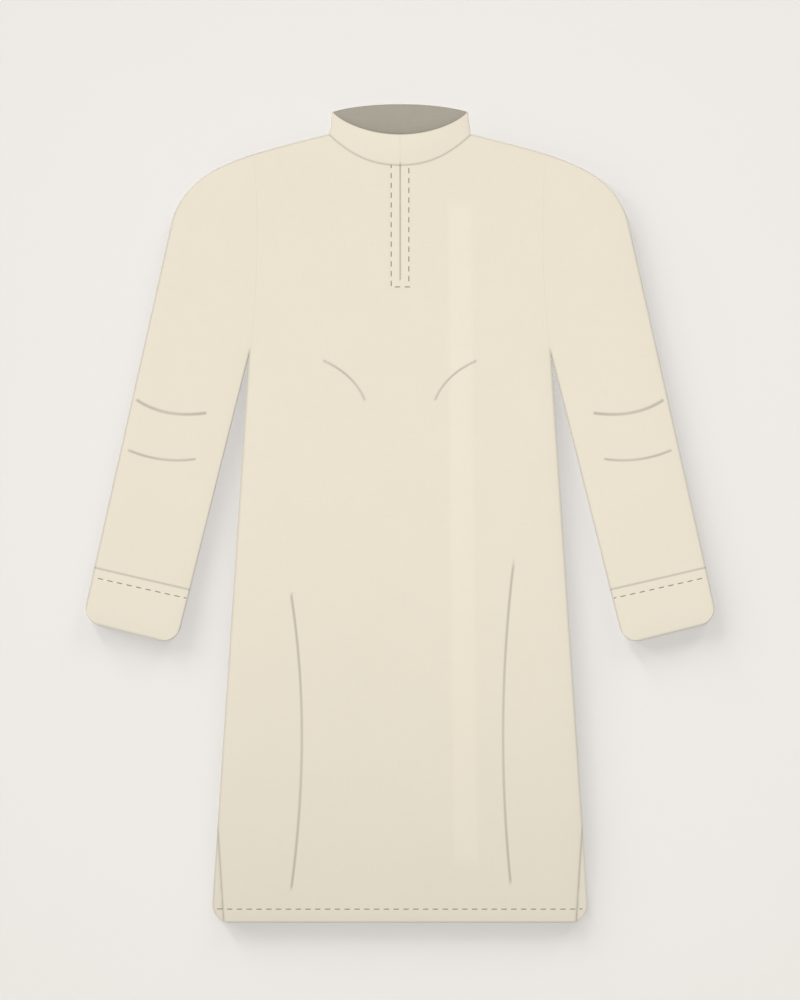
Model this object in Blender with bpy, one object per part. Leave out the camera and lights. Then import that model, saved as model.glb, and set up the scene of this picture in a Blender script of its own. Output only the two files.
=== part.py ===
"""Kurta tunic laid flat on a table: X across the garment, Y from hem to collar, Z up from the table.

The origin is the centre of the garment's box, on the table. Every panel is a cloth wall with a real
thickness: the back lies on the table, and the front, the sleeves' upper sides and the cuffs follow
one height of the upper layer of cloth, with its folds.
"""

import math
from collections import namedtuple

import bpy
import numpy as np

MM = 0.001  # sizes below are in millimetres, and the scene is in metres

# Cloth
WALL = 1.2  # panel of cotton with its seams pressed in
CUFF_WALL = 1.6  # cloth folded double
BAND_WALL = 1.8  # collar band, double with a stiffener
SEAM_GAP = 0.3
NECK_GAP = 0.4  # the neck seam is curved, and its straight stretches need a little more

# Body
HEM_Y = -530.7
HEM_HALF = 243.0
CHEST_HALF = 195.0
ARMPIT_Y = 214.2
HEM_CORNER = 21.0
SLIT_TOP_Y = -409.8
FRONT_HEM_HALF = 229.5  # the front is cut narrower below the slits, so the back shows
ARMHOLE_TOP_X = 190.0
ARMHOLE_CURVE = 7.0  # how far the armhole seam bows in

# Neck and collar
NECK_HALF = 91.0
NECK_CORNER_Y = 491.1
NECK_DROP = 39.0
BAND_TOP_HALF = 87.1
BAND_SIDE_TOP_Y = 521.0
BAND_FRONT_DROP = 28.6
BAND_BACK_RISE = 9.7
BAND_ARCH = 16.0  # height of the front band's top edge over the table
BAND_FOLD = 1.2  # bend radius of the band at its sides, at mid-wall
BAND_BULGE = 1.2  # how far the front band bows out over its height
BAND_OPENING = 0.3

# Placket
PLACKET_HALF = 13.6
PLACKET_FOOT_Y = 290.2
PLACKET_SLIT_END_Y = 302.6
PLACKET_SLIT_HALF = 0.3

# Shoulder line, as a cubic curve from the neck corner to the straight of the sleeve
SHOULDER = ((NECK_HALF, NECK_CORNER_Y), (223.6, 464.6), (281.0, 437.6), (294.3, 379.3))

# Sleeve and cuff, right-hand corners
CUFF_SEAM_OUTER = (397.0, -71.8)
CUFF_SEAM_INNER = (273.2, -97.8)
CUFF_END_OUTER = (412.2, -138.5)
CUFF_END_INNER = (291.0, -169.4)
CUFF_CORNER = 22.0
FOLD_RADIUS = 1.0  # bend of a folded edge, at mid-wall
FOLD_ANGLES = (60, 20, -20, -60)
SLEEVE_FAN = 0.8  # how strongly the sleeve's sections crowd together at the armpit
ARMHOLE_FADE = 0.22  # share of the sleeve over which its sections straighten

# Upper layer
EDGE_Z = 2.1
CROWN = 3.1  # how far the cloth stands up, away from the edges
CROWN_REACH = 9.4
NECK_LIFT_SIDE = 1.2
NECK_LIFT_CENTRE = 2.2
NECK_LIFT_REACH = 36.0

# A fold runs from start through bend to end. Its trough has ridges beside it, and a roll has a
# negative depth and so stands up instead.
Fold = namedtuple("Fold", "name start bend end depth width")
FOLDS = (
    Fold("skirt left", (-141.5, -107.0), (-113.0, -297.0), (-141.5, -490.5), 1.7, 6.0),
    Fold("skirt right", (148.0, -64.0), (120.0, -273.0), (144.5, -482.5), 1.7, 6.0),
    Fold("chest left", (-100.0, 197.5), (-59.0, 181.0), (-44.0, 146.5), 1.5, 6.5),
    Fold("chest right", (100.0, 197.5), (59.0, 181.0), (44.0, 146.5), 1.5, 6.5),
    Fold("upper sleeve left", (-343.5, 146.5), (-305.0, 124.0), (-251.0, 131.0), 1.6, 5.0),
    Fold("upper sleeve right", (343.5, 146.5), (305.0, 124.0), (251.0, 131.0), 1.6, 5.0),
    Fold("lower sleeve left", (-353.5, 81.5), (-310.0, 64.5), (-265.0, 70.0), 1.5, 5.0),
    Fold("lower sleeve right", (353.5, 81.5), (310.0, 64.5), (265.0, 70.0), 1.5, 5.0),
    Fold("front roll", (78.0, 400.0), (80.0, 0.0), (86.0, -455.0), -0.9, 15.0),
)
RIDGE_SHARE = 0.4  # a ridge beside a trough, as a share of its depth
RIDGE_PLACE = 2.2  # and its distance from the trough, in trough widths
FOLD_TAPER = 0.18  # share of a fold's length in which it dies out at each end
ROLL_TAPER = 0.3

# Material: cloth colours by linear red, green, blue
CLOTH = (0.831, 0.768, 0.631)
CLOTH_SKIRT = (0.799, 0.730, 0.604)
CLOTH_BAND = (0.846, 0.783, 0.651)


def spaced(start, end, count, dense=(), boost=3.0, reach=0.06):
    """Places from start to end, closer together round each dense place. All of it is in shares."""
    grid = np.linspace(0.0, 1.0, 801)
    density = np.ones_like(grid)
    for place in dense:
        density += boost * np.exp(-(((grid - place) / reach) ** 2))
    total = np.concatenate([[0.0], np.cumsum((density[1:] + density[:-1]) / 2)])
    shares = np.interp(np.linspace(0.0, total[-1], count + 1), total, grid)
    return [start + (end - start) * share for share in shares]


def bezier(points, t):
    """Point at t on a quadratic or cubic curve."""
    points = [np.array(p, float) for p in points]
    while len(points) > 1:
        points = [a + (b - a) * t for a, b in zip(points, points[1:])]
    return points[0]


# The garment's outline, right half

def side_half(y):
    """Half-width of the body at height y: a straight line from armhole to hem."""
    return CHEST_HALF + (HEM_HALF - CHEST_HALF) * (ARMPIT_Y - y) / (ARMPIT_Y - HEM_Y)


def rounded_inset(distance, radius):
    """How far an edge is drawn in by a round corner, at a distance from the end."""
    if distance >= radius:
        return 0.0
    return radius - math.sqrt(radius**2 - (radius - distance) ** 2)


def back_half(y):
    return side_half(y) - rounded_inset(y - HEM_Y, HEM_CORNER)


def front_half(y):
    if y >= SLIT_TOP_Y:
        return side_half(y)
    share = (SLIT_TOP_Y - y) / (SLIT_TOP_Y - HEM_Y)
    return side_half(SLIT_TOP_Y) + (FRONT_HEM_HALF - side_half(SLIT_TOP_Y)) * share


SHOULDER_POINTS = np.array([bezier(SHOULDER, t) for t in np.linspace(0.0, 1.0, 41)])


def shoulder_y(x):
    return float(np.interp(x, SHOULDER_POINTS[:, 0], SHOULDER_POINTS[:, 1]))


def armhole_x(y):
    """The seam between body and sleeve, which bows in between the armpit and the shoulder."""
    top_y = shoulder_y(ARMHOLE_TOP_X)
    share = (y - ARMPIT_Y) / (top_y - ARMPIT_Y)
    straight = CHEST_HALF + (ARMHOLE_TOP_X - CHEST_HALF) * share
    return straight - ARMHOLE_CURVE * 4 * share * (1 - share)


def outer_path():
    """The sleeve's upper edge, from the top of the armhole to the cuff seam."""
    start = np.array([ARMHOLE_TOP_X, shoulder_y(ARMHOLE_TOP_X)])
    rest = SHOULDER_POINTS[SHOULDER_POINTS[:, 0] > ARMHOLE_TOP_X + 1.0]
    return np.vstack([start, rest, CUFF_SEAM_OUTER])


def outline():
    """The garment's edge from the middle of the hem round the right side to the neck corner."""
    side = [(back_half(y), y) for y in np.linspace(HEM_Y, HEM_Y + HEM_CORNER, 7)]
    arm = [(CHEST_HALF, ARMPIT_Y), CUFF_END_INNER, CUFF_END_OUTER]
    return np.vstack([[(0.0, HEM_Y)], side, arm, SHOULDER_POINTS[::-1]])


OUTLINE = outline()


def distance_to(line, x, y):
    """Shortest distance from a point to a line of points."""
    point = np.array([x, y])
    a, b = line[:-1], line[1:]
    along = b - a
    share = ((point - a) * along).sum(1) / (along**2).sum(1)
    nearest = a + np.clip(share, 0.0, 1.0)[:, None] * along
    return float(np.sqrt(((point - nearest) ** 2).sum(1).min()))


# Height of the upper layer

FOLD_LINES = [
    np.array([bezier((f.start, f.bend, f.end), t) for t in np.linspace(0.0, 1.0, 25)])
    for f in FOLDS
]


def fold_height(fold, line, x, y):
    """What one fold adds at a point: a trough with a ridge on each side, or a roll."""
    point = np.array([x, y])
    a, along = line[:-1], line[1:] - line[:-1]
    share = np.clip(((point - a) * along).sum(1) / (along**2).sum(1), 0.0, 1.0)
    gaps = np.sqrt(((point - a - share[:, None] * along) ** 2).sum(1))
    nearest = int(gaps.argmin())
    q = gaps[nearest] / fold.width
    if q > 5.0:
        return 0.0
    place = (nearest + share[nearest]) / len(a)
    taper = ROLL_TAPER if fold.depth < 0 else FOLD_TAPER
    fade = min(1.0, place / taper, (1.0 - place) / taper)
    fade = math.sin(fade * math.pi / 2) ** 2
    if fold.depth < 0:
        return -fold.depth * fade * math.exp(-(q**2))
    ridges = RIDGE_SHARE * math.exp(-((q - RIDGE_PLACE) ** 2))
    return fold.depth * fade * (ridges - math.exp(-(q**2)))


def neck_seam_y(x):
    return NECK_CORNER_Y - NECK_DROP * (1.0 - (x / NECK_HALF) ** 2)


NECK_SEAM = np.array([(x, neck_seam_y(x)) for x in np.linspace(-NECK_HALF, NECK_HALF, 25)])


def height(x, y):
    """Height of the middle of the upper layer of cloth over the table."""
    crown = CROWN * (1.0 - math.exp(-distance_to(OUTLINE, abs(x), y) / CROWN_REACH))
    centre = max(0.0, 1.0 - (x / NECK_HALF) ** 2)
    lift = NECK_LIFT_SIDE + (NECK_LIFT_CENTRE - NECK_LIFT_SIDE) * centre
    lift *= math.exp(-distance_to(NECK_SEAM, x, y) / NECK_LIFT_REACH)
    folds = sum(fold_height(f, line, x, y) for f, line in zip(FOLDS, FOLD_LINES))
    return EDGE_Z + crown + lift + folds


def upper(x, y):
    """Mid-wall point of the upper layer and its normal."""
    step = 0.5
    slope_x = (height(x + step, y) - height(x - step, y)) / (2 * step)
    slope_y = (height(x, y + step) - height(x, y - step)) / (2 * step)
    normal = np.array([-slope_x, -slope_y, 1.0])
    return np.array([x, y, height(x, y)]), normal / np.linalg.norm(normal)


# Walls: a grid of mid-wall points and normals becomes a closed solid

def wall(name, rows, thickness, material, around=False, skip=None):
    """A closed wall over rows of (point, normal).

    around closes each row on itself, as in a tube with open ends. skip(row, column) leaves a cell
    out, and the wall's edge then runs round it.
    """
    count = len(rows[0])
    cells_wide = count if around else count - 1
    verts = []
    for side in (0.5, -0.5):
        for row in rows:
            for point, normal in row:
                verts.append(tuple((point + normal * thickness * side) * MM))
    lower = len(rows) * count
    cells = []
    for i in range(len(rows) - 1):
        for j in range(cells_wide):
            if skip is None or not skip(i, j):
                k = (j + 1) % count
                cells.append((i * count + j, i * count + k, (i + 1) * count + k, (i + 1) * count + j))
    edges = {(a, b) for cell in cells for a, b in zip(cell, cell[1:] + cell[:1])}
    rim = [(b, a, a + lower, b + lower) for a, b in edges if (b, a) not in edges]
    under = [tuple(v + lower for v in reversed(cell)) for cell in cells]
    return add_solid(name, verts, cells + under + sorted(rim), material)


def add_solid(name, verts, faces, material):
    used = sorted({v for face in faces for v in face})
    place = {v: i for i, v in enumerate(used)}
    mesh = bpy.data.meshes.new(name)
    mesh.from_pydata([verts[v] for v in used], [], [[place[v] for v in face] for face in faces])
    mesh.materials.append(material)
    mesh.shade_smooth()
    mesh.set_sharp_from_angle(angle=math.radians(40))
    obj = bpy.data.objects.new(name, mesh)
    bpy.context.scene.collection.objects.link(obj)
    return obj


def cloth(name, colour):
    material = bpy.data.materials.new(name)
    material.use_nodes = True
    shader = material.node_tree.nodes["Principled BSDF"]
    shader.inputs["Base Color"].default_value = (*colour, 1.0)
    shader.inputs["Roughness"].default_value = 0.85
    shader.inputs["Metallic"].default_value = 0.0
    return material


# Body panels

YOKE_Y = PLACKET_FOOT_Y  # rows are level below this, and fan out to the neck and shoulder above it
YOKE_ROWS = 6
CHEST_FOLDS_Y = 130.0  # the rows are closer together from here up to the armpit


def body_rows(half, level_ys, columns, above, top_y):
    """Rows of plan points over a body panel.

    columns are (guide, share) pairs: each names a stretch between two guide lines. half is the
    panel's half-width below the armhole, and top_y its upper edge.
    """
    def edge_x(y):
        return half(y) if y <= ARMPIT_Y else armhole_x(y) - SEAM_GAP / 2

    rows = []
    for y in level_ys:
        rows.append([(column(edge_x(y), y), y) for column in columns])
    for step in range(1, above + 1):
        share = step / above
        row = []
        for column in columns:
            x, y = column(edge_x(YOKE_Y), YOKE_Y), YOKE_Y
            for _ in range(8):  # x and y hang on each other, and settle after a few rounds
                y = YOKE_Y + (top_y(x) - YOKE_Y) * share
                x = column(edge_x(min(y, shoulder_y(ARMHOLE_TOP_X))), y)
            row.append((x, y))
        rows.append(row)
    return rows


def guide_x(side, y):
    """The guide line that follows a skirt fold, then runs on up to the neck corner."""
    fold_line = FOLD_LINES[0 if side < 0 else 1]
    top = fold_line[0]
    if y > top[1]:
        share = (y - top[1]) / (NECK_CORNER_Y - top[1])
        return abs(top[0]) + (NECK_HALF - abs(top[0])) * share
    return float(np.interp(-y, -fold_line[:, 1], abs(fold_line[:, 0])))


def between_guides(side, place, near_edge):
    """A column: from the panel's edge to the guide line, or from the guide to the placket slot."""
    def x_at(edge, y):
        guide = guide_x(side, y)
        if near_edge:
            return side * (edge + (guide - edge) * place)
        return side * (guide + (PLACKET_HALF - guide) * place)

    return x_at


EDGE_TO_GUIDE = (0.0, 0.035, 0.13, 0.36, 0.66, 0.86, 1.0)
GUIDE_TO_SLOT = (0.06, 0.15, 0.27, 0.40, 0.53, 0.66, 0.79, 0.90, 1.0)


def front_columns():
    """The front's columns from left to right, and the column where the placket's slot starts."""
    halves = []
    for side in (-1, 1):
        half = [between_guides(side, place, True) for place in EDGE_TO_GUIDE]
        halves.append(half + [between_guides(side, place, False) for place in GUIDE_TO_SLOT])
    centre = [lambda edge, y: 0.0]
    return halves[0] + centre + halves[1][::-1], len(halves[0]) - 1


def front_levels():
    """Heights of the front's level rows, close together at the hem and the chest folds."""
    skirt = spaced(HEM_Y, SLIT_TOP_Y, 6, dense=(0.0,), boost=6.0, reach=0.08)
    lower = spaced(SLIT_TOP_Y, CHEST_FOLDS_Y, 14)[1:]
    chest = spaced(CHEST_FOLDS_Y, ARMPIT_Y, 9)[1:]
    return skirt + lower + chest + spaced(ARMPIT_Y, YOKE_Y, 3)[1:]


def front_top(x):
    if abs(x) < NECK_HALF:
        return neck_seam_y(x)
    return shoulder_y(abs(x))


def square_to_seam(point, normal):
    """Turns a wall's edge upright along the neck, so that it stays clear of the collar."""
    if abs(point[0]) > NECK_HALF + 1.0:
        return point, normal
    upright = np.array([normal[0], 0.0, normal[2]])
    return point, upright / np.linalg.norm(upright)


def make_front(material):
    columns, slot = front_columns()
    levels = front_levels()
    plan = body_rows(front_half, levels, columns, YOKE_ROWS, front_top)
    rows = [[upper(x, y) for x, y in row] for row in plan]
    rows[-1] = [square_to_seam(point, normal) for point, normal in rows[-1]]
    first = len(levels) - 1  # the slot starts in the row of cells over the placket's foot

    def in_slot(i, j):
        return i >= first and j in (slot, slot + 1)

    return wall("front", rows, WALL, material, skip=in_slot)


BACK_NECK_SHARE = 0.48  # the column at this share of the half-width ends at the neck corner
BACK_SHARES = (0.0, 0.16, 0.32, BACK_NECK_SHARE, 0.65, 0.82, 1.0)


def back_column(place):
    def x_at(edge, y):
        rise = max(0.0, (y - YOKE_Y) / (NECK_CORNER_Y - YOKE_Y))
        corner_x = edge * BACK_NECK_SHARE + (NECK_HALF - edge * BACK_NECK_SHARE) * rise
        if abs(place) <= BACK_NECK_SHARE:
            return corner_x * place / BACK_NECK_SHARE
        share = (abs(place) - BACK_NECK_SHARE) / (1 - BACK_NECK_SHARE)
        return math.copysign(corner_x + (edge - corner_x) * share, place)

    return x_at


def back_top(x):
    return shoulder_y(max(abs(x), NECK_HALF))


def make_back(material):
    bends = [1 - math.cos(math.radians(angle)) for angle in (0, 22, 40, 58, 75, 90)]
    corner = [HEM_Y + HEM_CORNER * bend for bend in bends]
    levels = corner + spaced(HEM_Y + HEM_CORNER, ARMPIT_Y, 6)[1:] + spaced(ARMPIT_Y, YOKE_Y, 3)[1:]
    columns = [back_column(-p) for p in BACK_SHARES[:0:-1]] + [back_column(p) for p in BACK_SHARES]
    plan = body_rows(back_half, levels, columns, YOKE_ROWS, back_top)
    flat = np.array([0.0, 0.0, 1.0])
    rows = [[(np.array([x, y, WALL / 2]), flat) for x, y in row] for row in plan]
    return wall("back", rows, WALL, material)


def make_placket(material):
    """A strip in the front's slot, with the neck slit cut down its middle."""
    half = PLACKET_HALF - SEAM_GAP
    xs = (-half, -half / 2, -PLACKET_SLIT_HALF, PLACKET_SLIT_HALF, half / 2, half)
    foot = PLACKET_FOOT_Y + SEAM_GAP
    rows = []
    for place in [None] + spaced(0.0, 1.0, 9):
        row = []
        for x in xs:
            top = neck_seam_y(x)
            y = foot if place is None else PLACKET_SLIT_END_Y + (top - PLACKET_SLIT_END_Y) * place
            row.append(upper(x, y))
        rows.append(row)

    def in_slit(i, j):
        return i >= 1 and j == 2

    return wall("placket", rows, WALL, material, skip=in_slit)


# Sleeves and cuffs: rings of a flattened tube

def flat_ring(outer, inner, thickness):
    """One ring of a flattened tube, from its outer edge to its inner edge in plan.

    The underside is flat on the table, each edge is a fold, and the top follows the upper layer.
    """
    outer, inner = np.array(outer, float), np.array(inner, float)
    across = (inner - outer) / np.linalg.norm(inner - outer)
    reach = FOLD_RADIUS + thickness / 2
    start, end = outer + across * reach, inner - across * reach
    low = thickness / 2
    ring = []
    for place in RING_PLACES:
        point, normal = upper(*(start + (end - start) * place))
        point[2] += thickness - WALL
        ring.append((point, normal))
    ring += fold_points(ring[-1][0], across, low, FOLD_ANGLES)
    for place in UNDER_PLACES:
        plan = start + (end - start) * place
        ring.append((np.array([*plan, low]), np.array([0.0, 0.0, -1.0])))
    ring += fold_points(ring[0][0], -across, low, FOLD_ANGLES[::-1])
    return ring


def fold_points(top, outward, low, angles):
    """Points round a folded edge, between the top of the tube and its underside."""
    half_rise = (top[2] - low) / 2
    points = []
    for angle in angles:
        c, s = math.cos(math.radians(angle)), math.sin(math.radians(angle))
        plan = top[:2] + outward * FOLD_RADIUS * c
        points.append((np.array([*plan, low + half_rise * (1 + s)]), np.array([*(outward * c), s])))
    return points


def along_path(path, share):
    """Point at a share of a path's length."""
    lengths = np.concatenate([[0.0], np.cumsum(np.sqrt((np.diff(path, axis=0) ** 2).sum(1)))])
    at = share * lengths[-1]
    return np.array([np.interp(at, lengths, path[:, 0]), np.interp(at, lengths, path[:, 1])])


RING_PLACES = (0.0, 0.03, 0.10, 0.22, 0.38, 0.55, 0.72, 0.86, 0.95, 1.0)
UNDER_PLACES = (1.0, 0.75, 0.5, 0.25, 0.0)
SHOULDER_TURN, UPPER_FOLD, LOWER_FOLD = 0.2, 0.625, 0.735  # shares of the sleeve's length
SLEEVE_SHARES = spaced(
    0.0, 1.0, 28, dense=(0.0, SHOULDER_TURN, UPPER_FOLD, LOWER_FOLD), boost=2.2, reach=0.05
)


def mirrored(point, side):
    """The left side is the right side's mirror."""
    return np.array([point[0] * side, point[1]])


def sleeve_ends(share):
    """Outer and inner end of the sleeve's section at a share of its length."""
    gap = SEAM_GAP / 2
    outer = along_path(outer_path(), share)
    start = np.array([CHEST_HALF, ARMPIT_Y])
    fanned = (1 - SLEEVE_FAN) * share + SLEEVE_FAN * share**3
    inner = start + (np.array(CUFF_SEAM_INNER) - start) * fanned
    shift = np.array([gap, 0.0]) * (1 - share) + cuff_step() * -gap * share
    return outer + shift, inner + shift


def cuff_step():
    """Unit vector along the sleeve at the cuff seam, towards the hand."""
    seam = np.array(CUFF_SEAM_INNER) - np.array(CUFF_SEAM_OUTER)
    return np.array([-seam[1], seam[0]]) / np.linalg.norm(seam)


def armhole_ring(ring, side, share):
    """Bends the first rings to the armhole seam, which isn't straight."""
    fade = max(0.0, 1.0 - share / ARMHOLE_FADE)
    top_y = shoulder_y(ARMHOLE_TOP_X)
    bent = []
    for point, normal in ring:
        y = min(max(point[1], ARMPIT_Y), top_y)
        at = (y - ARMPIT_Y) / (top_y - ARMPIT_Y)
        x = point[0] - side * fade * ARMHOLE_CURVE * 4 * at * (1 - at)
        z = point[2]
        if normal[2] > 0.9:
            z, normal = height(x, point[1]), upper(x, point[1])[1]
        bent.append((np.array([x, point[1], z]), normal))
    return bent


def order(ring, side):
    """The left tube is a mirror of the right one, so its rings run the other way round."""
    return ring if side > 0 else ring[::-1]


def make_sleeve(name, side, material):
    rows = []
    for share in SLEEVE_SHARES:
        outer, inner = sleeve_ends(share)
        ring = flat_ring(mirrored(outer, side), mirrored(inner, side), WALL)
        rows.append(order(armhole_ring(ring, side, share), side))
    return wall(name, rows, WALL, material, around=True)


def make_cuff(name, side, material):
    seam = np.array([CUFF_SEAM_OUTER, CUFF_SEAM_INNER])
    end = np.array([CUFF_END_OUTER, CUFF_END_INNER])
    depth = float(np.linalg.norm(end.mean(0) - seam.mean(0)))
    start = seam + cuff_step() * SEAM_GAP / 2
    shares = spaced(0.0, 1.0 - CUFF_CORNER / depth, 3)
    bends = [1 - math.sin(math.radians(angle)) for angle in (20, 38, 55, 71, 90)]
    corner = [1.0 - CUFF_CORNER / depth * bend for bend in bends]
    rows = []
    for share in shares + corner:
        outer, inner = start + (end - start) * share
        across = (inner - outer) / np.linalg.norm(inner - outer)
        inset = rounded_inset((1.0 - share) * depth, CUFF_CORNER)
        outer, inner = outer + across * inset, inner - across * inset
        ring = flat_ring(mirrored(outer, side), mirrored(inner, side), CUFF_WALL)
        rows.append(order(ring, side))
    return wall(name, rows, CUFF_WALL, material, around=True)


# Collar

def band_point(x, front, up):
    """Mid-wall point of the collar band: up runs from 0 at the seam to 1 at the top edge."""
    base_half, top_half = NECK_HALF, BAND_TOP_HALF
    x_base, x_top = x * base_half, x * top_half
    arch = 1.0 - x**2
    low = BAND_WALL / 2
    side_z = low + 2 * BAND_FOLD
    if front:
        base = (x_base, neck_seam_y(x_base) + NECK_GAP, max(side_z, height(x_base, neck_seam_y(x_base))))
        top = (x_top, BAND_SIDE_TOP_Y - BAND_FRONT_DROP * arch, side_z + (BAND_ARCH - side_z) * arch)
    else:
        base = (x_base, NECK_CORNER_Y + NECK_GAP, low)
        top = (x_top, BAND_SIDE_TOP_Y + BAND_BACK_RISE * arch, low)
    base, top = np.array(base), np.array(top)
    point = base + (top - base) * up
    point[2] += BAND_BULGE * math.sin(math.pi * up) * arch if front else 0.0
    return point


BAND_HEIGHTS = (0.0, 0.25, 0.5, 0.75, 1.0)
BAND_FRONT_XS = (0.0, 0.13, 0.27, 0.41, 0.55, 0.68, 0.80, 0.90, 0.96)
BAND_EDGE = 0.972  # where the front and back of the band run into the fold at its side


def band_row(up):
    """The band at one height, from its right end at centre front, round the neck to its left end."""
    start = BAND_OPENING / 2 / NECK_HALF
    front = [max(x, start) for x in BAND_FRONT_XS] + [BAND_EDGE]
    right = [band_point(x, True, up) for x in front]
    back = [band_point(x, False, up) for x in np.linspace(BAND_EDGE, -BAND_EDGE, 11)]
    left = [band_point(-x, True, up) for x in front[::-1]]
    return right + side_fold(right[-1], back[0], 1) + back + side_fold(back[-1], left[0], -1) + left


def side_fold(start, end, side):
    """Points round the band's fold at one side, between its front and its back."""
    angles = FOLD_ANGLES if side > 0 else FOLD_ANGLES[::-1]
    top, low = (start, end) if side > 0 else (end, start)
    points = []
    for angle in angles:
        c, s = math.cos(math.radians(angle)), math.sin(math.radians(angle))
        plan = low[:2] + (top[:2] - low[:2]) * max(0.0, s)
        z = (top[2] + low[2]) / 2 + s * (top[2] - low[2]) / 2
        points.append(np.array([plan[0] + side * BAND_FOLD * c, plan[1], z]))
    return points


def with_normals(grid):
    """Adds to each point of a grid the normal of the surface there."""
    grid = np.array(grid)
    across = np.gradient(grid, axis=1)
    along = np.gradient(grid, axis=0)
    normals = np.cross(across, along)
    normals[0, :, 1] = 0.0  # the band's lower edge stands square to the seam
    normals /= np.linalg.norm(normals, axis=2)[:, :, None]
    return [list(zip(points, turned)) for points, turned in zip(grid, normals)]


def make_collar(material):
    rows = with_normals([band_row(up) for up in BAND_HEIGHTS])
    return wall("collar", rows, BAND_WALL, material)


for old in list(bpy.data.objects):
    bpy.data.objects.remove(old)

body_cloth = cloth("cotton_body", CLOTH)
skirt_cloth = cloth("cotton_back", CLOTH_SKIRT)
trim_cloth = cloth("cotton_trim", CLOTH_BAND)
make_back(skirt_cloth)
make_front(body_cloth)
make_placket(trim_cloth)
make_collar(trim_cloth)
for side_name, side_sign in (("left", -1), ("right", 1)):
    make_sleeve(f"sleeve_{side_name}", side_sign, body_cloth)
    make_cuff(f"cuff_{side_name}", side_sign, trim_cloth)
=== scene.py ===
# Kurta tunic in cream cotton, laid flat on a pale table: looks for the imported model.
# Sizes in the dictionaries are in millimetres, colours are sRGB hex values, and the scene is in metres.

import math
import bpy
import numpy as np
from mathutils import Matrix, Vector


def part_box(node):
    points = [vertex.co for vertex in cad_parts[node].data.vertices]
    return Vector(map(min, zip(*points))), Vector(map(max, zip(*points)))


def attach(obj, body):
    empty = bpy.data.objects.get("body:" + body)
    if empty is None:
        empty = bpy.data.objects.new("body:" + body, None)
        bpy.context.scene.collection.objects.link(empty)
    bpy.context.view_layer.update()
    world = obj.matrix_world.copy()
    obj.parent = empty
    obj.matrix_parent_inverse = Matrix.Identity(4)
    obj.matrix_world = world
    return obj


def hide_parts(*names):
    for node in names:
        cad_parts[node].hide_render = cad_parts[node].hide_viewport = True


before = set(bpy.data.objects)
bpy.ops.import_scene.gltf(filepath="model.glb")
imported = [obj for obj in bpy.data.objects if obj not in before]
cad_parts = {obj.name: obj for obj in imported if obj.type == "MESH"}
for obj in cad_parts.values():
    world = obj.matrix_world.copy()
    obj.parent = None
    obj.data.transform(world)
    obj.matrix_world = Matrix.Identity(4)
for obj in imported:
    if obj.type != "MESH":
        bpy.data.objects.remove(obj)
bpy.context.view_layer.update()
mm = 0.001
print("frame loaded:", ", ".join(sorted(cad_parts)))


# The cut, seen from above.

cut = {
    "hemY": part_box("back")[0].y / mm - 2.2,  # the cloth reaches a little past its solid
    "hemHalf": 245.5,
    "chestHalf": 195.7,
    "armpitY": 210.5,
    "hemCorner": 25.5,
    "slitTopY": -409.8,
    "frontHemHalf": 229.4,
    "armholeTopX": 190.0,
    "armholeCurve": 7.0,
    "neckHalf": 91.0,
    "neckCornerY": 490.9,
    "neckDrop": 39.2,
    "neckBend": 2.25,
    "shoulder": ((91.0, 492.4), (214.6, 461.6), (276.9, 448.4), (296.1, 379.7)),
    "cuffSeam": ((397.7, -71.3), (273.3, -100.1)),  # outer end, inner end
    "cuffEnd": ((412.6, -140.5), (291.3, -170.8)),
    "cuffCorner": 22.0,
    "hemDepth": 17.8,
    "slotHalf": 13.6,  # the front's slot for the placket
    "slotFootY": 290.2,
}
hemY, slitTopY, armpitY, neckHalf, slotHalf, slotFootY = (
    cut[key] for key in ("hemY", "slitTopY", "armpitY", "neckHalf", "slotHalf", "slotFootY"))
hairline = 0.02  # half of the gap between two pieces that are sewn together


def bezier(points, t):
    points = [np.array(p, float) for p in points]
    while len(points) > 1:
        points = [a + (b - a) * t for a, b in zip(points, points[1:])]
    return points[0]


# Places from start to end in even steps. They close up at each spot: its place, step and reach.
def stepsAlong(start, end, step, spots=()):
    samples = 1600
    line = np.linspace(start, end, samples + 1)
    local = np.full_like(line, step)
    for place, fineStep, reach in spots:
        near = np.exp(-(((line - place) / reach) ** 4))
        local = np.minimum(local, step + (fineStep - step) * near)
    density = 1.0 / local
    total = np.concatenate([[0.0], np.cumsum((density[1:] + density[:-1]) / 2)])
    total *= abs(end - start) / samples
    count = max(2, int(round(total[-1])))
    return np.interp(np.linspace(0.0, total[-1], count + 1), total, line)


# the same as shares of a span
def sharesOf(span, step, spots):
    return stepsAlong(0.0, span, step, spots) / span


def sideHalf(y):
    share = (armpitY - y) / (armpitY - hemY)
    return cut["chestHalf"] + (cut["hemHalf"] - cut["chestHalf"]) * share


def roundedInset(distance, radius):
    if distance >= radius:
        return 0.0
    return radius - math.sqrt(max(0.0, radius**2 - (radius - distance) ** 2))


def backHalf(y):
    return sideHalf(y) - roundedInset(y - hemY, cut["hemCorner"])


# how far the rounded corner lifts the hem at x
def cornerRise(x):
    return roundedInset(cut["hemHalf"] - abs(x), cut["hemCorner"])


def frontHalf(y):
    if y >= slitTopY:
        return sideHalf(y)
    top = sideHalf(slitTopY)
    share = (slitTopY - y) / (slitTopY - hemY)
    return top + (cut["frontHemHalf"] - top) * share


shoulderLine = np.array([bezier(cut["shoulder"], t) for t in np.linspace(0.0, 1.0, 61)])


def shoulderY(x):
    return float(np.interp(x, shoulderLine[:, 0], shoulderLine[:, 1]))


armholeTopY = shoulderY(cut["armholeTopX"])


def armholeX(y):
    share = min(1.0, max(0.0, (y - armpitY) / (armholeTopY - armpitY)))
    straight = cut["chestHalf"] + (cut["armholeTopX"] - cut["chestHalf"]) * share
    return straight - cut["armholeCurve"] * 4 * share * (1 - share)


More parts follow.
